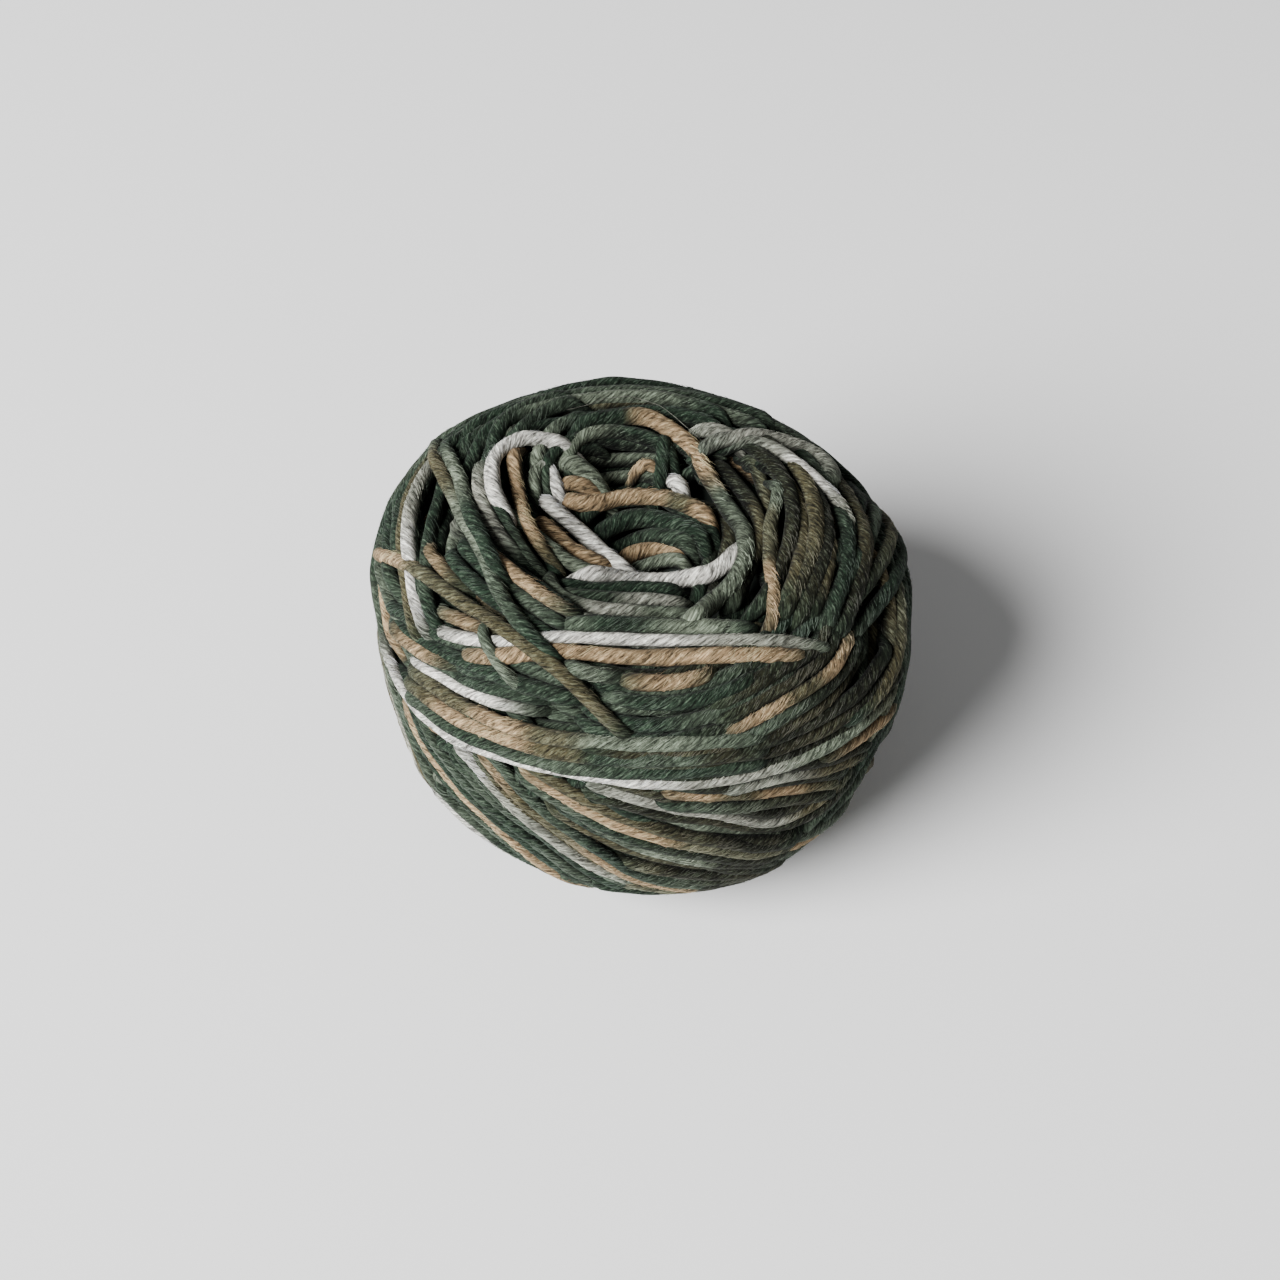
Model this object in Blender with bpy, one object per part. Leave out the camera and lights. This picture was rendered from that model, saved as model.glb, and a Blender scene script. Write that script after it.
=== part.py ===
"""A ball of knitting yarn, wound by hand round an open middle, standing on its flat foot.

Yarn wound in slanting turns gives a squat, full-shouldered ball, widest well above the middle of its
height, that draws in to the small flat foot its own weight presses on the underside. Its plan is a
little longer one way than the other, its waist runs a little higher on one side, and its top is
dished where the inner turns lie round the hollow middle. The ball is one closed solid. Its surface
carries the main bands of turns as low ridges: slanting wraps that each just pass the dish, a belt of
wraps round the waist, and the spiral inside the dish. Metres, +Z up, the origin in the middle of the
foot.
"""

import math

import bmesh
import bpy
from mathutils import Vector

# Driving dimensions.
MEAN_RADIUS = 0.0550  # from the axis to the waist
PLAN_STRETCH = 0.056  # how much longer or shorter than the mean the plan is along and across
PLAN_LONG_WAY = math.radians(-27)  # the direction in which the plan is longest
SHOULDER_HEIGHT = 0.0905  # where the full shoulder would close over the axis
WAIST_HEIGHT = 0.0555
WAIST_LEAN = 0.0055  # how much higher the waist is at its +X side than in the middle
SHOULDER_LEAN = -0.0045  # the same for the shoulder, which is lower there
FOOT_RADIUS = 0.019

# How full the round sides are: 2 is an ellipse, and more is nearer to a cylinder.
UPPER_FULLNESS = 2.8
LOWER_FULLNESS = 2.8

# The dish in the top.
DISH_RADIUS = 0.034
DISH_DEPTH = 0.013
DISH_TURN_SPACING = 0.011  # between the ridges of its spiral
DISH_TURN_HEIGHT = 0.0012

# Bands of turns: each lies in a plane round the ball, given by the direction of the plane's pole.
# Slanting wraps follow each other round the axis, each tipped so that it just passes the dish.
SLANTING_WRAPS = 16
SLANT_STEP = math.radians(137.5)  # from one wrap's pole to the next, round the axis
SLANT_TIPS = (math.radians(34), math.radians(48), math.radians(41))  # used in turn
BAND_HALF_WIDTH = 0.0105
BAND_CROWN = 0.0026  # how far a band's middle stands above its edges
BAND_EDGE_SHARE = 0.35  # of the half width, over which a band steps down to what it lies on

# The belt: the last turns, close to level round the waist.
BELT_BANDS = (
    {"pole_way": 200, "tip": 9, "above_waist": -0.002},
    {"pole_way": 20, "tip": 12, "above_waist": -0.015},
    {"pole_way": 95, "tip": 16, "above_waist": -0.028},
)

AROUND = 100  # faces round the ball
DOWN = 52  # faces from the middle of the dish to the middle of the foot

YARN_GREEN = (0.052, 0.082, 0.058, 1.0)


def smooth_step(value):
    """0 up to 0, 1 from 1, and a smooth rise between."""
    held = min(max(value, 0.0), 1.0)
    return held * held * (3.0 - 2.0 * held)


def pole(way, tip):
    """The unit vector that is tipped from the axis by tip, towards way."""
    return Vector((math.sin(tip) * math.cos(way), math.sin(tip) * math.sin(way), math.cos(tip)))


def bands():
    """Every band as its plane's pole and its distance along the pole, oldest first."""
    planes = []
    for index in range(SLANTING_WRAPS):
        tip = SLANT_TIPS[index % len(SLANT_TIPS)]
        planes.append((pole(index * SLANT_STEP, tip), 0.0))
    for row in BELT_BANDS:
        belt_pole = pole(math.radians(row["pole_way"]), math.radians(row["tip"]))
        planes.append((belt_pole, row["above_waist"]))
    return planes


def bare_reach(direction):
    """How far the plain squat form reaches from the middle of the waist, on a round plan."""
    across = math.hypot(direction.x, direction.y)
    if direction.z >= 0:
        fullness = UPPER_FULLNESS
        rise = SHOULDER_HEIGHT - WAIST_HEIGHT
    else:
        fullness = LOWER_FULLNESS
        foot_share = (FOOT_RADIUS / MEAN_RADIUS) ** fullness
        rise = WAIST_HEIGHT / (1.0 - foot_share) ** (1.0 / fullness)
    sum_of_powers = (across / MEAN_RADIUS) ** fullness + (abs(direction.z) / rise) ** fullness
    return sum_of_powers ** (-1.0 / fullness)


def band_relief(place, planes):
    """How high the bands stand over this place, which is taken from the middle of the waist.

    Each band is laid over the ones before it and hides them, up to a soft step at its edges.
    """
    relief = 0.5 * BAND_CROWN
    for axis, along in planes:
        off_middle = abs(place.dot(axis) - along) / BAND_HALF_WIDTH
        if off_middle < 1.0:
            crown = BAND_CROWN * (1.0 - off_middle ** 2)
            cover = smooth_step((1.0 - off_middle) / BAND_EDGE_SHARE)
            relief += (crown - relief) * cover
    return relief


def lean(place):
    """How far this place is lifted, as the waist and the shoulder each lean a little of their own."""
    if place.z >= 0:
        share = place.z / (SHOULDER_HEIGHT - WAIST_HEIGHT)
        full = WAIST_LEAN + (SHOULDER_LEAN - WAIST_LEAN) * share
    else:
        full = WAIST_LEAN * (1.0 + place.z / WAIST_HEIGHT)
    return full * place.x / MEAN_RADIUS


def ball_point(direction, planes):
    """The ball's surface in this direction from the middle of the waist."""
    place = direction * bare_reach(direction)
    across = math.hypot(place.x, place.y)
    way = math.atan2(place.y, place.x)
    # Bands fade out at the dish, which has turns of its own, and at the foot, which is flat.
    if direction.z >= 0:
        share_of_relief = smooth_step((across - 0.6 * DISH_RADIUS) / (0.4 * DISH_RADIUS))
    else:
        share_of_relief = smooth_step((across - FOOT_RADIUS) / FOOT_RADIUS)
    place += direction * band_relief(place, planes) * share_of_relief
    if direction.z > 0 and across < DISH_RADIUS:
        share = across / DISH_RADIUS
        bowl = (1.0 - share * share) ** 2
        spiral_phase = 2.0 * math.pi * across / DISH_TURN_SPACING - way
        turns = DISH_TURN_HEIGHT * math.cos(spiral_phase) * smooth_step(3.0 * share) * bowl ** 0.25
        place.z += turns - DISH_DEPTH * bowl
    stretch = 1.0 + PLAN_STRETCH * math.cos(2.0 * (way - PLAN_LONG_WAY))
    height = max(place.z + lean(place) + WAIST_HEIGHT, 0.0)
    return Vector((place.x * stretch, place.y * stretch, height))


def yarn_material():
    """Soft, dull spun yarn, here in the darkest of its greens."""
    material = bpy.data.materials.new("yarn")
    material.use_nodes = True
    shader = material.node_tree.nodes["Principled BSDF"]
    shader.inputs["Base Color"].default_value = YARN_GREEN
    shader.inputs["Roughness"].default_value = 0.9
    shader.inputs["Metallic"].default_value = 0.0
    return material


def make_ball():
    """A round mesh whose points are drawn in or out to the ball's surface, with one flat foot."""
    shape = bmesh.new()
    bmesh.ops.create_uvsphere(shape, u_segments=AROUND, v_segments=DOWN, radius=1.0)
    planes = bands()
    for vertex in shape.verts:
        vertex.co = ball_point(vertex.co.normalized(), planes)
    foot = [face for face in shape.faces if all(vertex.co.z == 0.0 for vertex in face.verts)]
    bmesh.ops.dissolve_faces(shape, faces=foot, use_verts=True)
    bmesh.ops.recalc_face_normals(shape, faces=shape.faces)
    mesh = bpy.data.meshes.new("yarn_ball")
    shape.to_mesh(mesh)
    shape.free()
    mesh.shade_smooth()
    mesh.materials.append(yarn_material())
    ball = bpy.data.objects.new("yarn_ball", mesh)
    bpy.context.scene.collection.objects.link(ball)
    return ball


for leftover in list(bpy.data.objects):
    bpy.data.objects.remove(leftover)

make_ball()
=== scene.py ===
import math

import bpy
import numpy as np
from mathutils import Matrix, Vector
from mathutils.bvhtree import BVHTree


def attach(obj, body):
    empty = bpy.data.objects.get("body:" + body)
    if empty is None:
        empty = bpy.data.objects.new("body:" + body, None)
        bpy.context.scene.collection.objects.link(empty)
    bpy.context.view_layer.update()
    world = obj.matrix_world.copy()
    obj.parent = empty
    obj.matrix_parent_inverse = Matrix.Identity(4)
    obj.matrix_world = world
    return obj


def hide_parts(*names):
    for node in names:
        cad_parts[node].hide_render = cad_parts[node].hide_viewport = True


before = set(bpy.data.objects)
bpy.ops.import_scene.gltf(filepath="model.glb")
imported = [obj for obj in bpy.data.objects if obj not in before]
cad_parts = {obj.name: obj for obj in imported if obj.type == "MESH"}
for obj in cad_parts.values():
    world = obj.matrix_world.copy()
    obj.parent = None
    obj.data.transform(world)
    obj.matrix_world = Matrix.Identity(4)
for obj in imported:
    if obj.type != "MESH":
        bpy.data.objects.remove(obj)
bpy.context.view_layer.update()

chance = np.random.default_rng(11)

# ---- The wound form ----
# A squat ball, longer one way, dished on top and flat where it stands. Every turn is placed by its
# direction from one point inside the ball and its reach from there, which the CAD ball gives.
MIDDLE = np.array([0.0, 0.0, 0.0435])
REACH_STEP = 3.0  # degrees between the directions in which the reach is measured
MISSED_REACH = 0.04  # taken where a measuring line slips between two faces

ball_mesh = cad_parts["yarn_ball"].data
ball_tree = BVHTree.FromPolygons(
    [vertex.co for vertex in ball_mesh.vertices],
    [face.vertices[:] for face in ball_mesh.polygons],
)
grid_level = np.radians(np.arange(-90, 90.1, REACH_STEP))
grid_way = np.radians(np.arange(-180, 180.1, REACH_STEP))
reach_grid = np.full((len(grid_level), len(grid_way)), MISSED_REACH)
for row, level in enumerate(grid_level):
    for column, way in enumerate(grid_way):
        aim = Vector((math.cos(level) * math.cos(way), math.cos(level) * math.sin(way), math.sin(level)))
        distance = ball_tree.ray_cast(Vector(MIDDLE), aim)[3]
        if distance is not None:
            reach_grid[row, column] = distance


def ball_reach(ways):
    """The CAD ball's reach from the middle in each of these unit directions."""
    row = (np.degrees(np.arcsin(np.clip(ways[:, 2], -1, 1))) + 90) / REACH_STEP
    column = (np.degrees(np.arctan2(ways[:, 1], ways[:, 0])) + 180) / REACH_STEP
    row_below = np.clip(row.astype(int), 0, len(grid_level) - 2)
    column_before = np.clip(column.astype(int), 0, len(grid_way) - 2)
    up, on = row - row_below, column - column_before
    low = reach_grid[row_below, column_before] * (1 - on) + reach_grid[row_below, column_before + 1] * on
    high = (
        reach_grid[row_below + 1, column_before] * (1 - on)
        + reach_grid[row_below + 1, column_before + 1] * on
    )
    return low * (1 - up) + high * up


# ---- Laying ----
# Medium plied knitting yarn, wound tight by hand. A strand is a line of directions, and the strands are
# kept in the order in which they are wound.
YARN = 0.0034  # across the yarn, wound tight
PITCH = 0.98 * YARN  # between neighbouring turns
SAMPLE = 0.00125  # between the samples along a strand
RUN_ON = 4  # samples by which each loose end is carried on, to go under
SHOWN_SIDES = 12  # faces round a strand that shows
BURIED_SIDES = 8  # and round one that is mostly hidden
TAUT_PULLS = 14  # how many times a strand is pulled straight between what it lies on
SLACK_PULLS = 5  # the same for a turn in the dish, which lies slack
DISH_SLOPE = 0.8  # how far up a turn's directions point when it is in the dish
strands = []


def unit(vectors):
    """The same directions at a length of one."""
    return vectors / np.linalg.norm(vectors, axis=-1, keepdims=True)


def even_line(ways, closed):
    """The same line of directions, sampled at even steps along the ball's surface."""
    if closed:
        ways = np.vstack([ways, ways[:1]])
    points = ways * ball_reach(ways)[:, None]
    along = np.concatenate([[0], np.cumsum(np.linalg.norm(np.diff(points, axis=0), axis=1))])
    count = max(int(round(along[-1] / SAMPLE)), 4)
    at = np.linspace(0, along[-1], count + 1)
    if closed:
        at = at[:-1]
    return unit(np.stack([np.interp(at, along, ways[:, i]) for i in range(3)], -1))


def beside(ways, shift):
    """The open line that runs this far to the left of an open line, on the surface."""
    side = unit(np.cross(ways, unit(np.gradient(ways, axis=0))))
    angle = np.broadcast_to(shift, len(ways)) / ball_reach(ways)
    return unit(ways * np.cos(angle)[:, None] + side * np.sin(angle)[:, None])


def run_on(ways):
    """The line with both its ends carried on, for the length that goes under."""
    for _ in range(2):
        step = ways[-1] - ways[-2]
        more = unit(ways[-1] + step * np.arange(1, RUN_ON + 1)[:, None])
        ways = np.vstack([ways, more])[::-1]
    return ways


def from_nearer_end(count):
    """For each of a strand's samples, how many samples lie between it and the nearer end."""
    return np.minimum(np.arange(count), np.arange(count)[::-1])


def lay(ways, dyes_and_shade, closed=False, thick=1.0, around=SHOWN_SIDES):
    """Winds one strand on. dyes_and_shade are its colours, one for each sample along it, with painted
    shade on some.
    """
    strands.append({
        "ways": ways,
        "dyes_and_shade": dyes_and_shade,
        "closed": closed,
        "half": 0.5 * YARN * thick,
        "around": around,
        "pulls": TAUT_PULLS if np.mean(ways[:, 2]) < DISH_SLOPE else SLACK_PULLS,
    })


# ---- Dye ----
# The yarn is dyed in lengths, in six colours, and a seventh, near-black one is painted shade on the turns
# at the shaded right and lower front. They soak into each other where they meet, and stray patches of each
# show here and there along the yarn.
STRAY_PATCH = 5  # samples over which a stray patch spreads
STRAY_SHARE = 0.03  # of the stray dye, on the whole
STRAY_SWING = 0.714  # how much more or less of it there is from patch to patch
STRAY_MOST = 0.55
DYE_EDGE = 1.6  # how quickly one dye gives way to the next
REPEAT_EDGE = 12  # samples over which it does so along the long repeat
HIDDEN_YARN = 0.13  # metres of yarn that go out of sight between two turns


def linear(hex_code):
    """An sRGB colour as linear red, green and blue."""
    value = np.array([int(hex_code[i:i + 2], 16) / 255 for i in (0, 2, 4)])
    return np.where(value <= 0.04045, value / 12.92, ((value + 0.055) / 1.055) ** 2.4)


DYES_AND_SHADE = {
    "green": linear("1B271D"),
    # Near-black, for the turns at the right and lower front: painted shade, where the ball turns away from
    # the light.
    "moss": linear("181910"),
    "sage": linear("5A6153"),
    "olive": linear("413D2B"),
    "tan": linear("887256"),
    "ash": linear("79796F"),
    "white": linear("C4C1B9"),
}
# What each dye has strayed into.
STRAYS = {
    "green": "sage", "moss": "olive", "sage": "green", "olive": "sage", "tan": "olive", "ash": "sage",
    "white": "ash",
}
# The long repeat of the yarn: each dye's name and its length in metres.
REPEAT = [
    ("green", 0.42), ("sage", 0.10), ("green", 0.25), ("olive", 0.09), ("tan", 0.12), ("olive", 0.05),
    ("green", 0.36), ("sage", 0.12), ("ash", 0.06), ("sage", 0.06), ("green", 0.30), ("olive", 0.10),
    ("sage", 0.08), ("tan", 0.08), ("green", 0.28), ("ash", 0.07), ("sage", 0.09), ("green", 0.33),
    ("olive", 0.12),
]
yarn_used = 0.0


def blur(values, width, closed):
    """Values along a strand, smoothed over about this many samples."""
    if values.ndim > 1:
        return np.stack([blur(column, width, closed) for column in values.T], -1)
    reach = max(int(width * 2.5), 1)
    weights = np.exp(-0.5 * (np.arange(-reach, reach + 1) / width) ** 2)
    weights /= weights.sum()
    return np.convolve(np.pad(values, reach, mode="wrap" if closed else "edge"), weights, "valid")


def ease(share):
    """A straight rise from 0 to 1 made smooth at both its ends."""
    return share * share * (3 - 2 * share)


def strayed(colours, strays):
    """The colours with some of what they have strayed into, in slow patches along the yarn."""
    patches = blur(chance.normal(0, 1, len(colours)), STRAY_PATCH, False)
    share = np.clip(STRAY_SHARE + STRAY_SWING * patches, 0, STRAY_MOST)[:, None]
    return colours * (1 - share) + strays * share


def dyed_and_shaded(names, count):
    """The colour at each sample of a strand, from the names of its dyes and painted shade in order along
    it.
    """
    names = names.split()
    names = names * 2 if len(names) == 1 else names
    at = np.linspace(0, len(names) - 1, count)
    low = np.clip(at.astype(int), 0, len(names) - 2)
    share = ease(np.clip((at - low - 0.5) * DYE_EDGE + 0.5, 0, 1))[:, None]
    both = []
    for table in (DYES_AND_SHADE, {name: DYES_AND_SHADE[STRAYS[name]] for name in STRAYS}):
        stops = np.array([table[name] for name in names])
        both.append(stops[low] * (1 - share) + stops[low + 1] * share)
    return strayed(*both)


def next_dyes(count):
    """Colours for the next strand off the same long yarn."""
    global yarn_used
    ends = np.cumsum([length for _, length in REPEAT])
    at = (yarn_used + np.arange(count) * SAMPLE) % ends[-1]
    yarn_used += count * SAMPLE + HIDDEN_YARN
    step = np.clip(np.searchsorted(ends, at), 0, len(REPEAT) - 1)
    colours = np.array([DYES_AND_SHADE[name] for name, _ in REPEAT])[step]
    strays = np.array([DYES_AND_SHADE[STRAYS[name]] for name, _ in REPEAT])[step]
    return strayed(blur(colours, REPEAT_EDGE, False), blur(strays, REPEAT_EDGE, False))


# ---- Under layers ----
# Slanting wraps, in bands of neighbouring turns, go right round and pass just outside the open middle.
# Below them, level turns close the foot.
WRAPS = 16
WRAP_STEP = 137.5  # degrees round the axis from one wrap's pole to the next
WRAP_TIPS = (46, 33, 41, 48, 37, 27)  # degrees from upright of the poles, used in turn
WRAP_TURNS = 4  # neighbouring turns in each
BURIED_WRAPS = 9
FOOT_TURNS = 9
MEAN_REACH = 0.052  # from the middle to the surface, on the whole
HAND_WOBBLE = 0.0013  # how far a turn swings aside, as a hand lays it


def direction(way, level):
    """Unit directions from degrees round the axis and degrees above the level."""
    way, level = np.radians(way), np.radians(level)
    return np.stack([np.cos(level) * np.cos(way), np.cos(level) * np.sin(way), np.sin(level)], -1)


def wrap(pole_way, pole_tip, aside, wobble_seed):
    """A closed turn in a plane across the pole, this far aside from the middle, with a hand's wobble."""
    pole = direction(pole_way, 90 - pole_tip)
    # Any line that isn't close to the pole does for the turn to start from.
    first = unit(np.cross(pole, [0.3, 0.1, 1.0] if pole_tip > 20 else [1.0, 0.2, 0.1]))
    second = np.cross(pole, first)
    turn = np.linspace(0, 2 * np.pi, 180, endpoint=False)
    ring = np.cos(turn)[:, None] * first + np.sin(turn)[:, None] * second
    hand = np.random.default_rng(wobble_seed)
    swing = sum(hand.uniform(-1, 1) * np.sin(k * turn + hand.uniform(0, 6.3)) / k for k in (1, 2, 3, 4))
    lean = (aside + swing * HAND_WOBBLE) / MEAN_REACH
    return even_line(unit(ring * np.cos(lean)[:, None] + pole * np.sin(lean)[:, None]), True)


for index in range(WRAPS):
    pole_way = index * WRAP_STEP + 20
    pole_tip = WRAP_TIPS[index % len(WRAP_TIPS)]
    around = BURIED_SIDES if index < BURIED_WRAPS else SHOWN_SIDES
    for turn in range(WRAP_TURNS):
        aside = (turn - (WRAP_TURNS - 1) / 2) * PITCH
        way, tip = pole_way + chance.uniform(-1.0, 1.0), pole_tip + chance.uniform(-0.8, 0.8)
        line = wrap(way, tip, aside, 40 + index)
        lay(line, next_dyes(len(line)), closed=True, around=around)

for index in range(FOOT_TURNS):
    aside = MEAN_REACH * math.radians(58 + index * 3.8)
    line = wrap(chance.uniform(0, 360), 180 - chance.uniform(0, 9), aside, 90 + index)
    lay(line, next_dyes(len(line)), closed=True, around=BURIED_SIDES)
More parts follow.
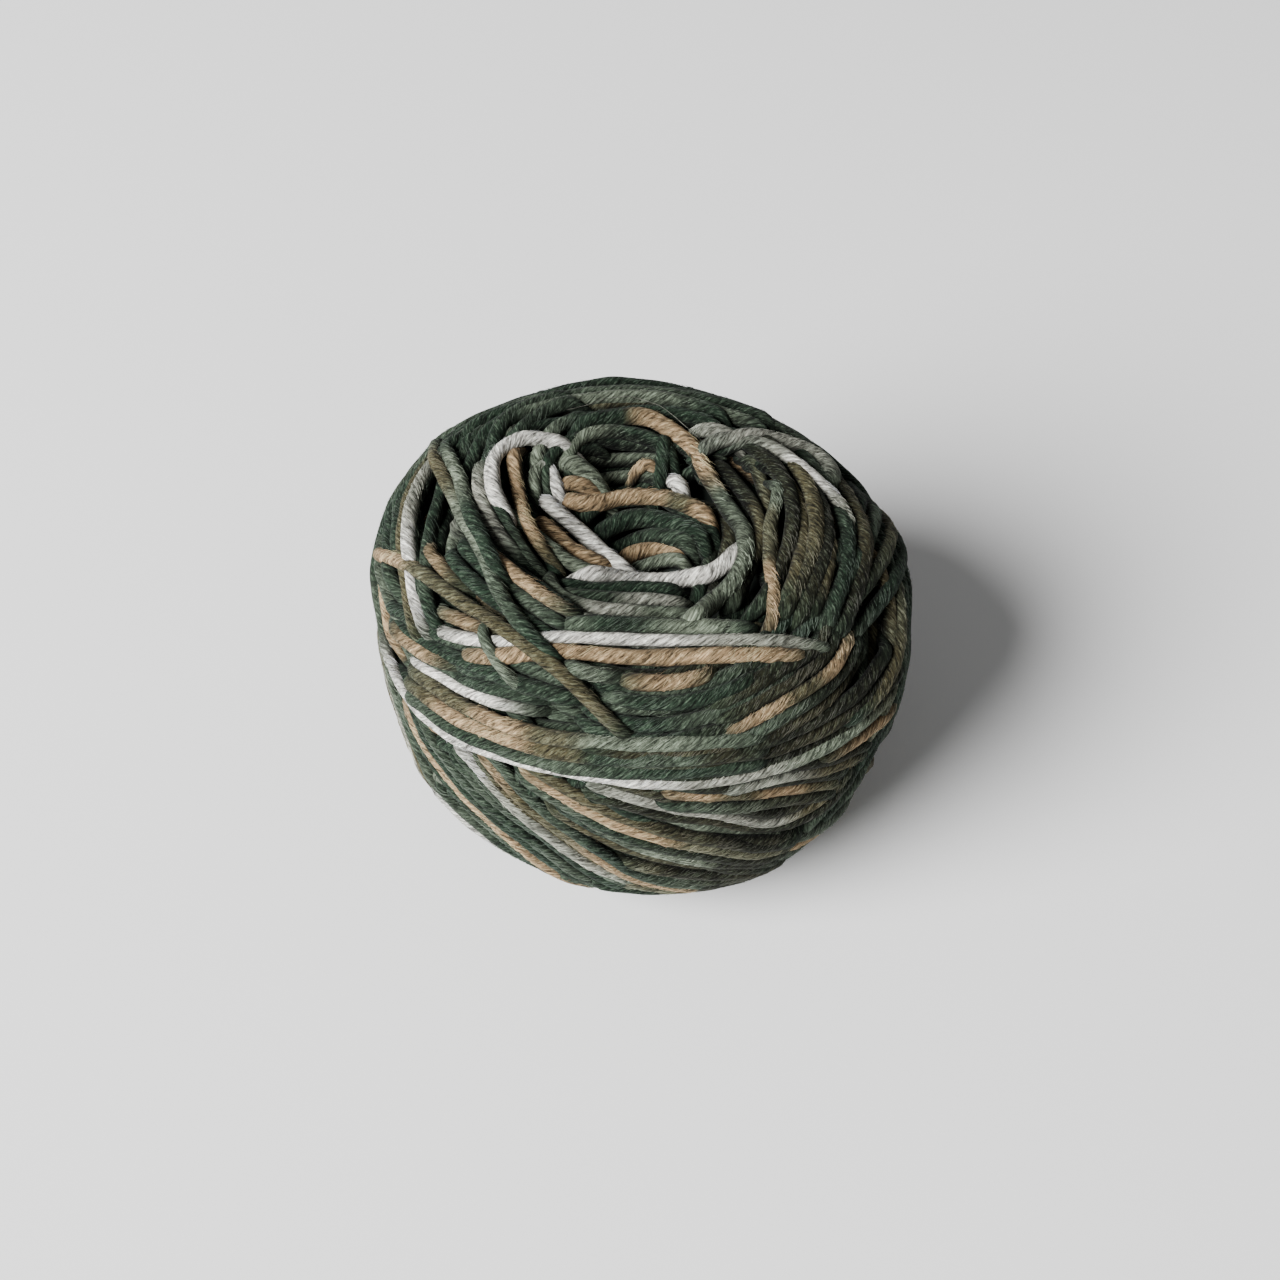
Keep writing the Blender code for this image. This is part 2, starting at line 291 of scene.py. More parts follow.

# ---- Outer turns ----
# The turns that show from the front and above, in the order in which they are wound. Each row is a line,
# in degrees round and degrees up from the middle, with its dyes and those of the turns beside it; the
# near-black one on the shaded right and lower front is painted shade.
OUTER = [
    # name, thickness, line, dyes and painted shade along it, and if it has them, its neighbours to the
    # left and the right
    # The fan of turns low on the front, and the waist over it.
    ("rim_left_fill", 1.0,
     [(146, 48), (156, 47), (166, 46), (176, 45.3), (186, 45), (196, 44.5), (206, 43.5)],
     "green sage green", ["green", "green"], ["green", "green"]),
    ("far_lower_left", 1.0,
     [(-150, -14), (-143, -19), (-137, -22), (-128, -30), (-118, -38)],
     "white sage", ["green"], ["green", "olive"]),
    ("lower_left_tan", 0.85,
     [(-156, 14), (-152, 8), (-150, 5), (-147, 3.5), (-144, 1.2), (-141, 0), (-138.5, -3), (-136, -4.7),
      (-133, -6.2), (-129.5, -8.5), (-126, -11.2), (-122, -15), (-117, -20), (-110, -26), (-100, -33)],
     "tan tan tan olive", ["green", "green"], ["green"]),
    ("lower_dark", 0.88,
     [(-108, 14), (-102, 8), (-96, 3), (-90, -1), (-82, -5), (-74, -9), (-66, -13), (-56, -17)],
     "olive green sage moss moss",
     ["green moss", "green moss", "green moss"], ["green moss", "olive moss", "green moss", "green moss"]),
    ("lower_front", 0.88,
     [(-100, -14), (-92, -17), (-84, -20), (-76, -22), (-66, -24), (-54, -26)],
     "olive green moss moss",
     ["green moss", "olive moss moss"], ["green moss", "olive moss", "green moss"]),
    ("long_tan", 0.85,
     [(-119, 18.5), (-112, 16.6), (-105, 13.9), (-98, 10), (-90, 6.3), (-85.5, 4.2), (-81, 1.9),
      (-75, -0.5), (-71, -3.5), (-66, -7.3), (-60, -10), (-53, -11)],
     "tan tan tan olive olive moss", ["olive moss"], ["green moss"]),
    ("diagonal_tan", 0.8,
     [(-131.5, 16), (-125.5, 12.6), (-120.2, 8.6), (-116.5, 5.7), (-113, 3.4), (-109, 0.3), (-105.3, -3),
      (-101.5, -6.7), (-98, -10.2), (-95, -14.2), (-90, -18), (-83, -21), (-74, -24)],
     "tan olive tan tan", ["green"], ["olive"]),
    ("diagonal_white", 0.8,
     [(-138, 13.5), (-130.5, 12), (-128, 9.7), (-125, 7.9), (-120, 4.5), (-117, 1.8), (-113.5, 0),
      (-111, -2.6), (-108, -5.3), (-105.5, -7.7), (-101.5, -12.4), (-97, -15), (-90, -18.5)],
     "white ash ash sage", [], ["green", "green"]),
    ("lower_white", 0.85,
     [(-103, 20.5), (-97, 19.5), (-90, 17.6), (-86, 15.5), (-81.5, 13.2), (-75, 11.2), (-71, 8.3),
      (-66, 3.8), (-62, 1.2), (-57, 0), (-52, 0.6), (-46, 3), (-40, 6.5)],
     "ash ash ash ash olive moss", ["moss"], ["moss"]),
    ("lower_tan", 0.85,
     [(-87, 20.3), (-82, 18.7), (-75, 17), (-66, 13.7), (-60, 11.8), (-50, 7.5), (-44, 4.5)],
     "tan tan olive tan olive moss", ["moss"], ["green moss"]),
    ("right_pale", 0.85,
     [(-74, 18.5), (-66, 18.2), (-60, 17.2), (-54.5, 14.8), (-50, 12.4), (-46, 11), (-41, 9), (-36, 7)],
     "ash ash olive moss", ["moss"], []),
    ("right_brown", 0.85,
     [(-52, 17.2), (-44, 16), (-38, 15.5), (-33, 14.5), (-26, 13)],
     "olive tan olive"),
    ("under_long_white", 0.9,
     [(-150, 17), (-138, 19), (-128, 22), (-120, 24.5), (-105, 26.7), (-90, 26.7), (-75, 26), (-60, 24.7),
      (-48, 24), (-36, 23.6), (-24, 24)],
     "green green moss moss", ["green moss"], ["green moss"]),
    ("long_white", 0.85,
     [(-174, 12.6), (-167, 12.7), (-160, 13), (-150, 13.8), (-142, 15.4), (-135, 16), (-127, 19),
      (-120, 20.8), (-112, 22.3), (-105, 23.2), (-97, 23.4), (-90, 23), (-75, 22.3), (-60, 21),
      (-50, 20.5), (-42, 20), (-34, 20), (-28, 20)],
     "ash white white white ash sage olive"),
    ("olive_right_edge", 0.85,
     [(-8, 31), (-14, 30), (-17, 27), (-22, 25), (-27, 24), (-33, 23.5), (-40, 23), (-46, 23)],
     "olive olive green"),
    ("front_green", 0.92,
     [(-104, 36), (-97, 35), (-88, 34.5), (-80, 35), (-70, 35.5), (-60, 36.5), (-50, 37)],
     "green green moss", ["green moss", "green green moss", "moss"], ["green moss", "moss"]),
    ("front_sage", 0.92,
     [(-100, 40), (-90, 39), (-80, 38.5), (-70, 39), (-60, 40)],
     "sage green green moss"),
    ("right_tan", 0.8,
     [(-74, 32), (-68, 32.5), (-60, 33.8), (-52, 34), (-46, 33.5), (-40, 33.5), (-35, 35), (-31, 36.5)],
     "olive tan olive tan olive", ["moss", "moss"], ["green moss", "moss"]),
    # The belt and the left side.
    ("belt_tan", 0.95,
     [(-157, 19), (-150, 22), (-143, 24), (-135.5, 25.2), (-128, 27.3), (-120, 28.2), (-109.5, 29.6),
      (-100, 30.8), (-90, 31.4), (-80, 31.4), (-70, 30.5), (-62, 29)],
     "olive olive olive tan olive sage sage green moss",
     [], ["olive olive tan tan olive green green moss moss", "green"]),
    ("belt_white", 0.8,
     [(-157, 22), (-150, 24.7), (-143, 26.8), (-135, 28.5), (-128.5, 30.8), (-120, 32.4), (-114, 32.8)],
     "white white sage", ["green", "green"], []),
    ("left_green", 1.0,
     [(-166, 24), (-158, 28), (-150, 31), (-142, 34), (-134, 36), (-126, 37), (-116, 38), (-106, 38)],
     "green", ["green"], []),
    ("left_thin_tan", 1.0,
     [(-164, 25), (-156, 27.5), (-150, 29.7), (-145, 31), (-139, 33)],
     "olive tan olive"),
    # The shoulder, behind and at both sides.
    ("rim_back", 1.0,
     [(150, 45), (135, 48), (120, 50), (105, 51), (90, 51), (75, 50), (60, 48), (45, 44)],
     "green olive olive sage green", ["green"], ["green", "green"]),
    ("rim_left_back", 1.0,
     [(176, 49), (170, 50), (163, 50.5), (157, 50), (151, 50.8), (146, 51.5), (140, 52), (133, 52.5)],
     "green sage sage green", ["green"], ["green"]),
    ("left_white", 0.95,
     [(155, 42), (158, 41), (162, 40.5), (167, 40), (174, 40.2), (178.5, 39.7), (184.5, 38.8),
      (190, 38.7), (194, 39), (198, 37), (202.5, 36), (207.5, 34.5), (211, 33)],
     "ash ash white ash", ["green"], ["olive"]),
    ("left_patch", 1.0,
     [(180, 47.8), (184, 47.4), (188, 47.0)],
     "ash"),
    ("left_tan_patch", 0.88,
     [(189, 42), (195, 43.5), (200, 44), (205, 44.6), (210, 45.5)],
     "tan olive"),
    ("right_arc_1", 1.0,
     [(40, 46), (30, 46), (20, 46), (10, 46), (0, 46), (-10, 46), (-20, 46), (-30, 45), (-40, 43)],
     "moss green olive moss", ["green", "moss"], ["moss", "olive", "moss"]),
    ("right_arc_2", 1.0,
     [(34, 53), (24, 52.5), (14, 51), (3, 50.3), (-8, 50.3), (-20, 50.5), (-34, 50), (-46, 47)],
     "moss olive olive green", ["moss"], []),
    # The walls of the dish.
    ("dish_right_wall", 1.0,
     [(52, 58), (36, 57), (20, 56.5), (4, 56.5), (-12, 57), (-26, 57), (-40, 56), (-52, 53)],
     "moss moss olive moss green", ["moss", "moss olive moss"], ["moss", "moss green"]),
    ("dish_back_wall", 1.0,
     [(150, 57), (132, 58), (115, 58.5), (100, 58.5), (84, 58.5), (68, 58), (54, 57)],
     "green sage green", ["green", "green sage green"], ["green sage green", "green"]),
    ("dish_left_wall", 1.0,
     [(112, 56), (126, 56.5), (140, 57.8), (153, 59.5), (166, 61.2), (178, 62.6), (190, 63.6),
      (202, 64.2), (216, 64)],
     "green sage green", ["green"], ["green", "green"]),
    ("dish_back_low", 1.0,
     [(156, 72), (142, 70), (126, 68), (108, 67), (90, 67.2), (74, 68.6), (58, 71)],
     "green sage green green", ["green", "green"], ["sage green"]),
    ("dish_back", 1.0,
     [(142, 64), (131, 61), (119, 59.7), (105, 59.3), (92, 59.8), (80, 61.3), (68, 64)],
     "green sage green green", [], ["green sage green", "green"]),
    ("dish_back_upright", 1.0,
     [(79, 60), (77, 63), (75.5, 66), (75, 70)],
     "green"),
    ("dish_back_tan", 0.9,
     [(97, 65.6), (88, 66), (79, 65.6)],
     "green tan tan green"),
    ("dish_back_white", 1.15,
     [(69, 66.6), (59, 68), (49, 67.6)],
     "green white white white green"),
    ("dish_left_sage", 1.3,
     [(140, 61.5), (134, 63.2), (130, 65.3), (128, 67.5), (128, 70)],
     "sage"),
    ("dish_left_tan", 1.0,
     [(152, 63.5), (144, 65.5), (139, 67.5), (133, 70)],
     "tan"),
    # The turns inside the dish.
    ("mound_tan", 1.25,
     [(-150, 79), (-165, 83.5), (160, 87), (60, 86.5), (28, 83.5), (8, 80), (-3, 77), (-10, 73)],
     "olive tan tan olive"),
    ("mound_sage", 1.0,
     [(-120, 78), (-95, 80.5), (-55, 82), (-25, 80), (-24, 76), (-28, 71)],
     "sage"),
    ("mound_green_1", 1.25,
     [(-178, 77), (172, 79.5), (145, 80.5), (108, 80.5), (72, 81), (42, 80), (17, 78), (3, 75), (-8, 71)],
     "green"),
    ("mound_green_2", 1.25,
     [(172, 73), (163, 75.5), (133, 77.3), (103, 77.5), (79, 77.5), (52, 77), (27, 75), (6, 71.5),
      (-6, 68)],
     "green", ["green"], []),
    ("dish_tan", 1.15,
     [(160, 65), (155, 67), (151, 69.5), (147, 72), (139, 73), (130, 72.7), (120, 72.3), (112, 72.8),
      (103, 73.5), (87, 73.8), (75, 74), (64, 73.5), (52, 72), (42, 71), (30, 69.7), (22, 68.2),
      (16, 66)],
     "tan tan tan tan tan olive tan tan"),
    ("dish_left_white", 0.95,
     [(163, 60.2), (155, 59.6), (147, 59.6), (145, 61), (148, 62.8), (154, 64), (160, 65.3)],
     "green sage white white"),
    ("dish_tan_2", 1.12,
     [(176, 60.5), (184, 64), (192, 65.5), (200, 67.2), (210, 69.2), (218, 71), (226, 72.5), (236, 73.5)],
     "tan", [], ["sage"]),
    ("dish_diagonal_white", 1.0,
     [(163, 61.5), (168, 64), (172, 66.5), (174, 69), (178, 71.7), (187, 74), (202, 75.5), (222, 75.8),
      (245, 75.3), (262, 74)],
     "white"),
    ("dish_tan_1", 0.9,
     [(149, 56), (158, 57.5), (164, 58), (171, 59), (181, 60.3), (188, 61), (195, 61.3), (203, 61.7),
      (210, 61.7)],
     "tan tan olive", [], ["green"]),
    # The rim of the dish, and the rings in front of it.
    ("dish_arch", 1.05,
     [(183, 57.8), (177, 57.0), (171, 56.2), (165, 55.3), (160, 54.7), (155, 54.7), (150, 55.2),
      (144, 56.5), (138, 58), (133.5, 60), (129.5, 61.5)],
     "white"),
    ("rim_left_white", 1.1,
     [(160, 52.2), (165, 53), (170, 53.6), (176, 53.6), (182, 54), (188, 54.6), (194, 55.4), (200, 56),
      (206, 56.4)],
     "sage ash ash sage"),
    ("front_ring_1", 1.0,
     [(-135, 58.5), (-120, 62), (-105, 65.3), (-90, 66.5), (-75, 65.5), (-64, 63)],
     "green"),
    ("front_ring_2", 1.0,
     [(-130, 57), (-118, 59), (-105, 61), (-90, 62), (-75, 61), (-64, 59)],
     "sage green ash sage"),
    ("front_ring_3", 1.0,
     [(-140, 58.5), (-128, 56), (-118, 56), (-105, 57.5), (-90, 58), (-78, 57.5), (-66, 55)],
     "green sage ash sage green", [], ["sage ash sage green"]),
    ("front_ring_4", 1.0,
     [(-118, 51), (-105, 53.8), (-90, 54.3), (-78, 53.5), (-66, 51.5), (-54, 47.5)],
     "sage green sage green"),
    ("dish_chord_white", 1.15,
     [(-131, 64), (-126, 66.3), (-121, 68.3), (-114, 70.3), (-107, 71), (-90, 71.3), (-75, 71),
      (-61, 69.8), (-54, 67.8), (-47, 65), (-38, 63.5), (-29, 62), (-22, 61.5), (-14, 61)],
     "white"),
    ("left_fill", 1.0,
     [(-168, 48.5), (-158, 50), (-148, 51.2), (-138, 52), (-128, 52), (-116, 51.2)],
     "green", ["green"], ["green"]),
    # The last turns: the chords over the front, the loops and the strands across the left shoulder.
    ("upper_left_tan", 0.86,
     [(-160, 52.8), (-154, 53.8), (-148, 54.4), (-141, 54.9), (-134, 55), (-127, 54.8), (-120, 54.5),
      (-114, 54.2)],
     "tan tan olive"),
    ("chord_tan_short", 1.0,
     [(-96, 43), (-90, 43), (-84, 42.5), (-77, 42.5), (-70, 43)],
     "olive tan olive"),
    ("chord_sage", 1.0,
     [(-112, 43.5), (-104, 43.8), (-96, 43.5)],
     "sage"),
    ("under_loop_tan", 0.9,
     [(-152, 38.8), (-147, 40.3), (-142, 41.5), (-137, 42.7), (-133, 43.8)],
     "olive tan olive"),
    ("loop", 1.15,
     [(122, 58), (113, 58.3), (105, 58), (97, 57.3), (90, 57.3), (82, 57.7), (75, 58.8), (67, 60),
      (61, 61.2), (56, 62.5), (49, 63.2), (42, 63.2), (33, 62.8), (25, 62.3), (12, 61.5), (1, 61.2),
      (-10, 60.8), (-21, 60), (-30, 59), (-38, 58.3), (-46, 57.6), (-53, 57), (-61, 56), (-67, 55.2),
      (-74, 53.7)],
     "green green tan tan sage sage sage sage sage"),
    ("chord_tan", 1.0,
     [(-139, 36), (-135, 37.6), (-131, 39.3), (-126, 41.8), (-120, 44.5), (-114, 46.4), (-105, 47.3),
      (-97, 47.5), (-90, 47.5), (-82, 47.3), (-74, 46.8), (-67, 45.8), (-60, 44), (-54, 42), (-51, 40.5),
      (-46, 38)],
     "tan"),
    ("chord_white", 0.78,
     [(-149, 35.6), (-144, 37.6), (-139.5, 39.3), (-134.5, 41.2), (-130.5, 43), (-127, 44.3),
      (-122, 46.8), (-117, 48.7), (-112, 49.8), (-105, 50.6), (-97, 51.2), (-90, 51.3), (-82, 50.8),
      (-75, 50.1), (-67, 48.8), (-58.5, 46.6), (-53, 44.6), (-49, 43), (-45.5, 40.8), (-43, 38.8),
      (-39, 36)],
     "white white white ash sage"),
    ("crossing_green", 0.95,
     [(147, 33), (151, 36.3), (157, 39.8), (163, 43.5), (171, 46.9), (179, 49.2), (187, 50.8),
      (195, 52.2), (203, 52.9), (209, 52.3), (214, 51.4), (220, 50.4), (226.5, 49), (233, 47.8),
      (238, 46.7), (243, 45.4), (247, 44.2)],
     "green olive sage green green"),
    ("crossing_green_2", 0.95,
     [(151, 39.5), (157, 43.2), (163, 47), (171, 50), (179, 51.6), (187, 52.8), (195, 53.8), (203, 54.2),
      (210, 53.7), (217, 52.6)],
     "green sage green green"),
    ("proud_branch", 0.78,
     [(-139, 43.5), (-134, 41.8), (-131, 40.3), (-127, 39), (-122.5, 37.8), (-119, 36.5)],
     "sage"),
    ("right_pale_upright", 0.85,
     [(20, 54.5), (14, 55), (7, 56), (0, 57.3), (-8, 58), (-16, 57.3), (-23, 56), (-30, 55.3),
      (-36, 53.5), (-41, 51.5), (-45, 49.5), (-49, 47.3), (-52, 45.8)],
     "sage sage olive olive tan tan tan"),
    ("right_top_white_2", 0.92,
     [(46, 56), (44, 54), (40, 52), (36, 50.8), (29.5, 50), (23, 49), (18, 47.7), (15, 46), (12, 44.3),
      (8, 42.8), (2.5, 42.2), (-4, 42)],
     "ash ash white ash olive"),
    ("right_top_white_3", 1.0,
     [(66, 57), (62, 57), (58, 56.5), (52.5, 55.7), (47, 54.5)],
     "ash"),
    ("right_top_white_1", 1.05,
     [(56, 61.5), (53, 60), (50.5, 58.5), (48.5, 56.5), (46, 53.7), (43.5, 50.5), (41, 48), (37, 45),
      (34, 42), (32.5, 40), (31, 38.7), (29, 38.5), (26, 39.5), (22, 41), (16, 42)],
     "ash ash ash ash sage"),
    ("proud_loop", 0.92,
     [(176, 25), (180, 28), (184, 32), (190, 36.5), (196.5, 40), (200, 41.3), (205, 42.6), (212.5, 43.6),
      (219, 45), (224, 45.4), (230, 45.3), (235, 45.1), (240, 44.7), (244.5, 43.9), (249, 42.6),
      (254.5, 40.5), (259, 37.5), (263, 35), (268, 32)],
     "tan tan olive olive olive olive moss"),
]

LINE_EASE = 2.6  # samples over which the corners of a line are rounded
END_SHADE_FADE = 9  # samples over which the colour is blended into the dark green dye before the strand goes under its neighbours: painted shade
UNSHADED_END_SLOPE = 0.82  # turns whose directions point up more than this get no painted shade at their ends

for _, thick, line, dyes_and_shade, *both_sides in OUTER:
    left, right = both_sides or ([], [])
    ways = even_line(direction(*np.array(line, float).T), False)
    ways = even_line(unit(blur(ways, LINE_EASE, False)), False)
    # The farthest neighbours are wound first and the line itself last.
    neighbours = [(place + 1, names) for place, names in enumerate(left)]
    neighbours += [(-place - 1, names) for place, names in enumerate(right)]
    neighbours.sort(key=lambda neighbour: -abs(neighbour[0]))
    for place, names in neighbours + [(0, dyes_and_shade)]:
        strand = ways
        if place:
            strand = even_line(beside(ways, place * PITCH * min(thick, 1.0)), False)
        strand = run_on(strand)
        colours = dyed_and_shaded(names, len(strand))
        # Painted shade: near each end, where the strand goes under its neighbours, its colour is blended
        # into the dark green dye.
        if np.mean(strand[:, 2]) < UNSHADED_END_SLOPE:
            share = np.clip(1.15 - from_nearer_end(len(strand)) / END_SHADE_FADE, 0, 1)[:, None]
            colours = colours * (1 - share) + DYES_AND_SHADE["green"] * share
        lay(strand, colours, thick=min(thick, 1.0) if place else thick)

# ---- Settling ----
# Each strand rests on the core and on every strand wound before it, squashes them where it crosses, and
# is pulled taut between. The turns are wound a few times over, and each time the core is drawn in or let
# out so that the outermost turns come to lie at the CAD surface.
WINDINGS = 6
SQUASH = 0.76  # of two crossing strands' thickness, that is left between their lines
BEDDING = 0.9  # of half a strand's thickness, that is left between its line and the core
TOUCHING = 0.0042  # between two samples' lines at the surface, within which they could touch
PRESSED_IN = 0.5  # of what stands proud of the CAD surface, that the hand presses back
TAUT_WIDTH = 2.2  # samples over which one pull straightens a strand
STIFFNESS = 1.1  # samples over which the yarn's own stiffness rounds it in the end
TUCK = 6  # samples over which a loose end goes under
TUCK_DEPTH = 0.0045
KNOTS = 900  # places spread evenly over the ball at which the core's depth is kept
SPREAD = 0.105  # radians over which one place's depth carries
FIRST_DEPTH = 0.0070
DEPTHS = (0.0030, 0.0150)  # the least and the most
CORRECTION = 0.8  # of what the outermost turns are off by, that the core is moved each time
FLOOR_SQUASH = 0.93  # of half its thickness, that a strand's line keeps above the floor
OUTERMOST = 0.0008  # how sharply the outermost turns count for more than those below
BLOCK = 2000  # samples worked on at a time, to save memory

knot_height = 1 - (np.arange(KNOTS) + 0.5) * 2 / KNOTS
knot_across = np.sqrt(1 - knot_height ** 2)
knot_way = np.arange(KNOTS) * 2.39996  # the golden angle
knot_ways = np.stack([knot_across * np.cos(knot_way), knot_across * np.sin(knot_way), knot_height], -1)
knot_depth = np.full(KNOTS, FIRST_DEPTH)


def core_reach(ways):
    """The surface of the core in each of these unit directions."""
    depth = np.zeros(len(ways))
    for start in range(0, len(ways), BLOCK):
        part = slice(start, start + BLOCK)
        weight = np.exp((ways[part] @ knot_ways.T - 1) / SPREAD ** 2)
        depth[part] = weight @ knot_depth / weight.sum(1)
    return ball_reach(ways) - depth


all_ways = np.vstack([strand["ways"] for strand in strands])
all_half = np.concatenate([np.full(len(strand["ways"]), strand["half"]) for strand in strands])
surface = ball_reach(all_ways)
starts = np.concatenate([[0], np.cumsum([len(strand["ways"]) for strand in strands])])
closest_knot = np.concatenate([
    (all_ways[start:start + BLOCK] @ knot_ways.T).argmax(1) for start in range(0, len(all_ways), BLOCK)
])
for strand, first, last in zip(strands, starts[:-1], starts[1:]):
    # Which earlier samples each sample could touch.
    closeness = all_ways[first:last].astype(np.float32) @ all_ways[:first].T.astype(np.float32)
    close = 1 - 0.5 * (TOUCHING / surface[first:last, None]) ** 2
    strand["mine"], strand["theirs"] = np.nonzero(closeness > close)
    strand["closeness"] = closeness[strand["mine"], strand["theirs"]].astype(float)

for winding in range(WINDINGS):
    reach = np.zeros(len(all_ways))
    bare = core_reach(all_ways)
    for strand, first, last in zip(strands, starts[:-1], starts[1:]):
        closed, half = strand["closed"], strand["half"]
        mine, theirs, closeness = strand["mine"], strand["theirs"], strand["closeness"]
        need = bare[first:last] + BEDDING * half
        touch = SQUASH * (half + all_half[theirs])
        aside = reach[theirs] ** 2 * (1 - closeness ** 2)
        over = reach[theirs] * closeness + np.sqrt(np.maximum(touch ** 2 - aside, 0))
        np.maximum.at(need, mine, np.where(aside < touch ** 2, over, 0))
        need = need - PRESSED_IN * np.maximum(need + half - surface[first:last], 0)
        taut = need.copy()
        for _ in range(strand["pulls"]):
            taut = np.maximum(need, blur(taut, TAUT_WIDTH, closed))
        taut = blur(taut, STIFFNESS, closed)
        if not closed:
            taut = taut - TUCK_DEPTH * ease(np.clip(1 - from_nearer_end(len(taut)) / TUCK, 0, 1))
        reach[first:last] = taut
    above = reach + all_half - surface
    weight = np.exp(above / OUTERMOST)
    total = np.bincount(closest_knot, weight, KNOTS)
    excess = np.bincount(closest_knot, weight * above, KNOTS) / np.maximum(total, 1e-9)
    if winding < WINDINGS - 1:
        knot_depth = np.clip(knot_depth + CORRECTION * excess, *DEPTHS)
for strand, first, last in zip(strands, starts[:-1], starts[1:]):
    strand["proud"] = reach[first:last] + strand["half"] - surface[first:last]
    points = strand["ways"] * reach[first:last, None] + MIDDLE
    points[:, 2] = np.maximum(points[:, 2], strand["half"] * FLOOR_SQUASH)
    strand["points"] = points

# ---- Stray fibre ----
# One long pale fibre has worked loose and lies over the far side of the rim, clear of it in the middle.
STRAY_LINE = [(121, 54.3), (115, 55), (108, 55.5), (95, 55.2), (82, 56.5), (74, 58), (66, 59.2), (58, 60)]
STRAY_LIFT = 0.0018
stray_ways = even_line(direction(*np.array(STRAY_LINE, float).T), False)
stray_over = 0.0002 + STRAY_LIFT * np.sin(np.linspace(0, np.pi, len(stray_ways)))
strands.append({
    "ways": stray_ways,
    "points": stray_ways * (ball_reach(stray_ways) + stray_over)[:, None] + MIDDLE,
    "dyes_and_shade": np.tile(DYES_AND_SHADE["ash"], (len(stray_ways), 1)),
    "closed": False,
    "half": 0.00008,
    "around": 6,
    "proud": np.full(len(stray_ways), 0.002),
})

# ---- Core ----
# The inside of the ball, which is more of the same yarn, packed between the outer turns and coloured
# near-black as painted shade. Only chinks of it show, so it is one rounded form just under them.
CORE_GAP = 0.0004  # by which the core's mesh stays under the surface that the strands rest on
CORE_CLEARANCE = 0.0015  # above the floor
bpy.ops.mesh.primitive_uv_sphere_add(segments=96, ring_count=64, radius=1.0)
core = bpy.context.object
core.name = "core"
core_ways = unit(np.array([vertex.co for vertex in core.data.vertices]))
core_points = core_ways * (core_reach(core_ways) - CORE_GAP)[:, None] + MIDDLE
core_points[:, 2] = np.maximum(core_points[:, 2], CORE_CLEARANCE)
core.data.vertices.foreach_set("co", core_points.astype(np.float32).ravel())
core.data.polygons.foreach_set("use_smooth", [True] * len(core.data.polygons))
core.data.update()


def finished(name, settings):
    """A new material whose shader has these settings."""
    material = bpy.data.materials.new(name)
    material.use_nodes = True
    shader = material.node_tree.nodes["Principled BSDF"]
    for key, value in settings.items():
        shader.inputs[key].default_value = value
    return material


# Acrylic yarn deep in the ball: dull, and painted a near-black green as the shade it lies in.
core.data.materials.append(finished("packed_yarn_painted_shade", {
    "Base Color": (*linear("1D241E"), 1),
    "Roughness": 0.95,
}))
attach(core, "root")
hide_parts("yarn_ball")

# ---- Strand meshes ----
# Each strand is a soft round tube that swells a little. Its plies turn round it, and its material reads
# where on them each point is: millimetres along the strand, and the cosine and sine round the plies.
TWIST_LENGTH = 0.0125  # for one whole turn of the plies
FLATNESS = 0.96  # of a strand's depth to its width
SWELLS = ((0.06, 0.0051, 1.0), (0.045, 0.0017, 2.3))  # how much, over what length, and each strand's start
END_SAMPLES = 5  # over which a loose end draws in
END_WIDTH = 0.25  # of the strand's own, right at the end
PAINTED_SIDE_SHADE = 0.88  # how much painted shade darkens the sides of a turn where it is bedded in
PROUD = 0.0016  # how far out a turn stands that is hardly bedded in at all
PATTERN_STEP = 37.0  # millimetres of the fibres' pattern from one strand's start to the next's
ROUND_TO_STEP = 9  # samples along a strand that are about as long as it is round
PIECE_TRIANGLES = 190000
pieces = []


def frame_along(points, closed):
    """The two directions across a strand at each of its points: outward and sideways."""
    if closed:
        tangent = unit(np.roll(points, -1, 0) - np.roll(points, 1, 0))
    else:
        tangent = unit(np.gradient(points, axis=0))
    out = unit(points - MIDDLE)
    out = unit(out - (out * tangent).sum(1)[:, None] * tangent)
    return out, np.cross(out, tangent)


def tube(strand, number):
    """The strand's rings of points, where each is on the plies, its colour, and the faces between."""
    points, closed, around = strand["points"], strand["closed"], strand["around"]
    count = len(points)
    out, side = frame_along(points, closed)
    along = np.concatenate([[0], np.cumsum(np.linalg.norm(np.diff(points, axis=0), axis=1))])
    angle = np.linspace(0, 2 * np.pi, around, endpoint=False)
    radius = np.ones(count)
    for amount, length, start in SWELLS:
        radius += amount * np.sin(along / length + start * number)
    if not closed:
        drawn_in = np.sqrt(np.clip(from_nearer_end(count) / END_SAMPLES, 0, 1))
        radius *= END_WIDTH + (1 - END_WIDTH) * drawn_in
    radius *= strand["half"]
    across = (
        FLATNESS * np.cos(angle)[None, :, None] * out[:, None, :]
        + np.sin(angle)[None, :, None] * side[:, None, :]
    )
    place = points[:, None, :] + radius[:, None, None] * across
    on_ply = angle[None, :] - (2 * np.pi * along / TWIST_LENGTH)[:, None]
    fibre = np.stack([
        np.broadcast_to(along[:, None], on_ply.shape) * 1000 + PATTERN_STEP * number,
        np.cos(on_ply),
        np.sin(on_ply),
    ], -1)
    # Painted shade down the sides of a turn that is bedded in, where its neighbours shade it, and less of
    # it on a proud one.
    bedded = np.clip(1.2 - strand["proud"] / PROUD, 0.25, 1.0)
    facing = ease(np.clip((np.cos(angle) + 0.25) / 1.1, 0, 1))
    painted_shade = 1 - PAINTED_SIDE_SHADE * bedded[:, None] * (1 - facing[None, :])
    colour = strand["dyes_and_shade"][:, None, :] * painted_shade[:, :, None]
    ring = np.arange(count if closed else count - 1)
    column = np.arange(around)
    beyond = (column + 1) % around
    near, far = ring[:, None] * around, ((ring + 1) % count)[:, None] * around
    faces = np.stack([near + column, near + beyond, far + beyond, far + column], -1).reshape(-1, 4)
    return place.reshape(-1, 3), fibre.reshape(-1, 3), colour.reshape(-1, 3), faces


